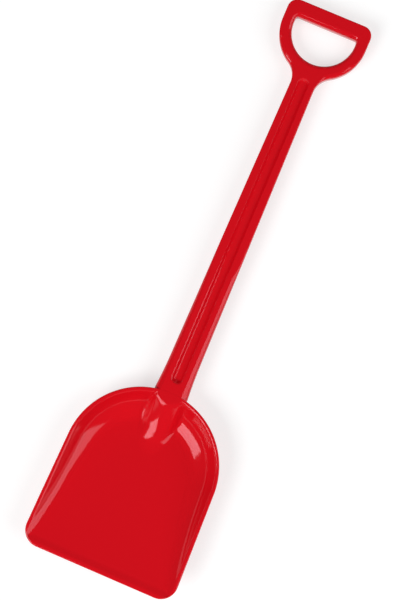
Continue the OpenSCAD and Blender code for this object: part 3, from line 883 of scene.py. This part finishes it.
def new_material(name):
    """An empty node material and its tree."""
    material = bpy.data.materials.new(name)
    material.use_nodes = True
    material.node_tree.nodes.clear()
    return material, material.node_tree


def per_metre(size):
    """Noise scale for features of that size in millimetres."""
    return 1000 / size


def moulded_plastic():
    """Polypropylene moulded in a polished tool: an even, glossy skin with faint flow waves in it."""
    name = "moulded_polypropylene_red"
    if name in bpy.data.materials:
        return bpy.data.materials[name]
    finish = bpy.context.scene.shovel_finish
    material, tree = new_material(name)
    place = add_node(tree, "ShaderNodeTexCoord").outputs["Object"]
    haze = add_node(tree, "ShaderNodeTexNoise", {"Vector": place, "Scale": per_metre(35), "Detail": 3.0})
    rough = add_node(tree, "ShaderNodeMapRange", {
        "Value": haze.outputs["Fac"], "From Min": 0.3, "From Max": 0.7,
        "To Min": finish.gloss * 0.85, "To Max": finish.gloss * 1.2})
    waves = add_node(tree, "ShaderNodeTexNoise", {"Vector": place, "Scale": per_metre(22), "Detail": 1.5})
    bump = add_node(tree, "ShaderNodeBump", {
        "Height": waves.outputs["Fac"], "Strength": 0.12, "Distance": 0.0006})
    skin = add_node(tree, "ShaderNodeBsdfPrincipled", {
        "Base Color": linear(finish.plastic), "Roughness": rough.outputs["Result"], "IOR": 1.49,
        "Specular Tint": linear(finish.sheen), "Normal": bump.outputs["Normal"]})
    add_node(tree, "ShaderNodeOutputMaterial", {"Surface": skin.outputs["BSDF"]})
    return material


def plated_steel():
    """Zinc-plated steel: a soft, slightly cloudy metal."""
    finish = bpy.context.scene.shovel_finish
    material, tree = new_material("zinc_plated_steel")
    place = add_node(tree, "ShaderNodeTexCoord").outputs["Object"]
    cloud = add_node(tree, "ShaderNodeTexNoise", {"Vector": place, "Scale": per_metre(1.5), "Detail": 2.0})
    rough = add_node(tree, "ShaderNodeMapRange", {
        "Value": cloud.outputs["Fac"], "From Min": 0.3, "From Max": 0.7, "To Min": 0.26, "To Max": 0.4})
    metal = add_node(tree, "ShaderNodeBsdfPrincipled", {
        "Base Color": linear(finish.zinc), "Metallic": 1.0, "Roughness": rough.outputs["Result"]})
    add_node(tree, "ShaderNodeOutputMaterial", {"Surface": metal.outputs["BSDF"]})
    return material


def white_table(stage):
    """Matt white paint. What sees it sees its light and shadow near the shovel, and plain white far away."""
    material, tree = new_material("white_table")
    ray = add_node(tree, "ShaderNodeLightPath").outputs
    seen = add_node(tree, "ShaderNodeMath", {0: ray["Is Camera Ray"], 1: ray["Is Glossy Ray"]},
                    operation="MAXIMUM").outputs["Value"]
    seen = add_node(tree, "ShaderNodeMath", {0: seen, 1: ray["Is Transmission Ray"]},
                    operation="MAXIMUM").outputs["Value"]
    paint = add_node(tree, "ShaderNodeBsdfDiffuse", {"Color": linear(stage.floor)})
    shade = add_node(tree, "ShaderNodeBsdfDiffuse", {"Color": linear(stage.shade)})
    glow = add_node(tree, "ShaderNodeEmission", {"Strength": stage.glow})
    near = add_node(tree, "ShaderNodeAddShader", {0: shade.outputs["BSDF"], 1: glow.outputs["Emission"]})
    place = add_node(tree, "ShaderNodeTexCoord").outputs["Object"]
    away = add_node(tree, "ShaderNodeVectorMath", {0: place}, operation="LENGTH").outputs["Value"]
    far = add_node(tree, "ShaderNodeMapRange", {
        "Value": away, "From Min": stage.white_from, "From Max": stage.white_to})
    backdrop = add_node(tree, "ShaderNodeEmission", {"Strength": 1.0})
    white = add_node(tree, "ShaderNodeMixShader", {
        "Fac": far.outputs["Result"], 1: near.outputs["Shader"], 2: backdrop.outputs["Emission"]})
    both = add_node(tree, "ShaderNodeMixShader", {
        "Fac": seen, 1: paint.outputs["BSDF"], 2: white.outputs["Shader"]})
    add_node(tree, "ShaderNodeOutputMaterial", {"Surface": both.outputs["Shader"]})
    return material


# Stage

def softbox(name, azimuth, height, distance, across, up, radiance):
    """A lamp aimed at the shovel, with its size given as angles and its brightness as radiance."""
    lamp = bpy.data.lights.new(name, "AREA")
    lamp.shape = "RECTANGLE"
    lamp.size, lamp.size_y = (2 * distance * math.tan(span / 2) for span in (across, up))
    lamp.energy = radiance * math.pi * lamp.size * lamp.size_y
    made = bpy.data.objects.new(name, lamp)
    level = math.cos(height)
    toward = Vector((math.cos(azimuth) * level, math.sin(azimuth) * level, math.sin(height)))
    made.location = toward * distance
    made.rotation_euler = toward.to_track_quat("Z", "Y").to_euler()
    bpy.context.scene.collection.objects.link(made)


def build_table(stage):
    """The floor with its low backdrop, just below the shovel."""
    level = -0.0001
    corners = [(x * stage.floor_half, y * stage.floor_half) for x, y in ((-1, -1), (1, -1), (1, 1), (-1, 1))]
    points = [(x, y, z) for z in (level, stage.wall_high) for x, y in corners]
    sides = [[i, (i + 1) % 4, (i + 1) % 4 + 4, i + 4] for i in range(4)]
    table = piece("table", mesh_of("table", points, [[0, 1, 2, 3]] + sides))
    table.data.materials.append(white_table(stage))


def set_world(stage):
    """Even light from all round."""
    world = bpy.data.worlds.new("studio")
    world.use_nodes = True
    tree = world.node_tree
    tree.nodes.clear()
    sky = add_node(tree, "ShaderNodeBackground", {"Color": (1, 1, 1, 1), "Strength": stage.fill})
    add_node(tree, "ShaderNodeOutputWorld", {"Surface": sky.outputs["Background"]})
    bpy.context.scene.world = world


def set_camera(stage):
    """The camera above the shovel, with the photograph's lean, turn and scale."""
    picture_height = 601
    lens = bpy.data.cameras.new("camera")
    lens.sensor_fit, lens.sensor_height = "VERTICAL", 36
    lens.lens = stage.pixels_per_m * stage.distance / picture_height * lens.sensor_height
    lens.clip_end = 60
    camera = bpy.data.objects.new("camera", lens)
    back = Vector((math.tan(stage.lean_x), math.tan(stage.lean_y), 1)).normalized()
    right = Vector((math.cos(stage.roll), math.sin(stage.roll), 0))
    right = (right - back * right.dot(back)).normalized()
    up = back.cross(right)
    turn = Matrix((right, up, back)).transposed().to_4x4()
    aim = Vector((stage.aim_x, stage.aim_y, stage.aim_z))
    camera.matrix_world = Matrix.Translation(aim + back * stage.distance) @ turn
    bpy.context.scene.collection.objects.link(camera)
    bpy.context.scene.camera = camera


def build_stage():
    """The floor with its low backdrop, the soft lamps, the light from all round, and the camera."""
    stage = bpy.context.scene.shovel_stage
    build_table(stage)
    softbox("key_softbox", stage.key_from, stage.key_height, stage.lamp_away,
            stage.key_across, stage.key_up, stage.key)
    softbox("side_softbox", stage.side_from, stage.side_height, stage.lamp_away,
            stage.side_across, stage.side_up, stage.side)
    set_world(stage)
    set_camera(stage)
    bpy.context.scene.view_settings.view_transform = "Standard"


# Operators, panel and registration

class SHOVEL_OT_blade(Operator):
    """Builds the moulded scoop"""
    bl_idname = "shovel.blade"
    bl_label = "Build Scoop"

    def execute(self, context):
        finish_piece(build_blade(), "blade", moulded_plastic())
        return {"FINISHED"}


class SHOVEL_OT_handle(Operator):
    """Builds the shaft with its D grip and tang"""
    bl_idname = "shovel.handle"
    bl_label = "Build Handle"

    def execute(self, context):
        finish_piece(build_handle(), "handle", moulded_plastic())
        return {"FINISHED"}


class SHOVEL_OT_screws(Operator):
    """Builds the two screws in the back of the nose"""
    bl_idname = "shovel.screws"
    bl_label = "Build Screws"

    def execute(self, context):
        finish_piece(build_screws(), "tang_screws", plated_steel())
        return {"FINISHED"}


class SHOVEL_OT_stage(Operator):
    """Sets up the table, the lamps and the camera"""
    bl_idname = "shovel.stage"
    bl_label = "Set Stage"

    def execute(self, context):
        build_stage()
        return {"FINISHED"}


class SHOVEL_PT_panel(Panel):
    """Lists the shovel's steps and sizes"""
    bl_idname = "SHOVEL_PT_panel"
    bl_label = "Sand Shovel"
    bl_space_type = "VIEW_3D"
    bl_region_type = "UI"
    bl_category = "Shovel"

    def draw(self, context):
        layout = self.layout
        for operator in OPERATORS:
            layout.operator(operator.bl_idname)
        for name, group in GROUPS.items():
            box = layout.box()
            for field in group.__annotations__:
                box.prop(getattr(context.scene, name), field)


OPERATORS = (SHOVEL_OT_blade, SHOVEL_OT_handle, SHOVEL_OT_screws, SHOVEL_OT_stage)
CLASSES = tuple(GROUPS.values()) + OPERATORS + (SHOVEL_PT_panel,)


def register():
    for cls in CLASSES:
        bpy.utils.register_class(cls)
    for name, group in GROUPS.items():
        setattr(bpy.types.Scene, name, PointerProperty(type=group))


def unregister():
    for name in GROUPS:
        delattr(bpy.types.Scene, name)
    for cls in reversed(CLASSES):
        bpy.utils.unregister_class(cls)


def main():
    """Builds the shovel and its stage."""
    register()
    bpy.ops.shovel.blade()
    bpy.ops.shovel.handle()
    bpy.ops.shovel.screws()
    bpy.ops.shovel.stage()


if __name__ == "__main__":
    main()
